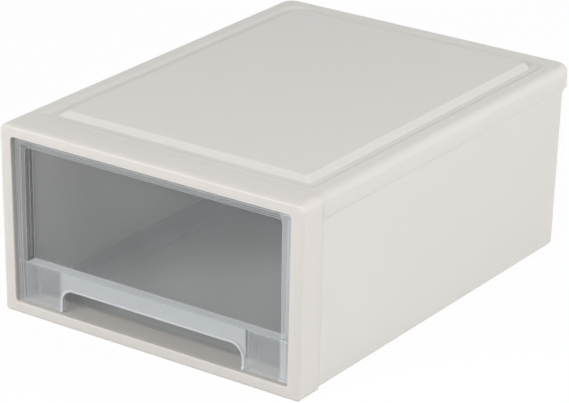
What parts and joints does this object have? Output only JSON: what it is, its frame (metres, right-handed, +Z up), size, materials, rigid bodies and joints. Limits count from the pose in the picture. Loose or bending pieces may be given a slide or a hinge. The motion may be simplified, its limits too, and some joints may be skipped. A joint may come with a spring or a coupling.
{
  "type": "stackable drawer box",
  "caption": "Low stackable storage box with a moulded case, a grooved lid that seats the next box, and a translucent slide-out drawer with a recessed window and a finger pull.",
  "frame": {"origin": "middle of the footprint, on the surface that the box stands on", "axes": "+X to the right, +Y from the front to the back, +Z up; the drawer slides out along -Y"},
  "size_m": [0.3, 0.406, 0.1675],
  "materials": {
    "case_plastic": "fine satin moulded polypropylene, warm ivory grey",
    "drawer_plastic": "translucent moulded polypropylene, faintly bluish"
  },
  "bodies": {
    "case": {"case_body": "case_plastic", "front_frame": "case_plastic", "top_board": "case_plastic"},
    "drawer": {"drawer": "drawer_plastic"}
  },
  "joints": [
    {"name": "drawer_slide", "type": "slide", "parent": "case", "child": "drawer", "axis": [0, -1, 0], "range_m": [0, 0.27]}
  ]
}
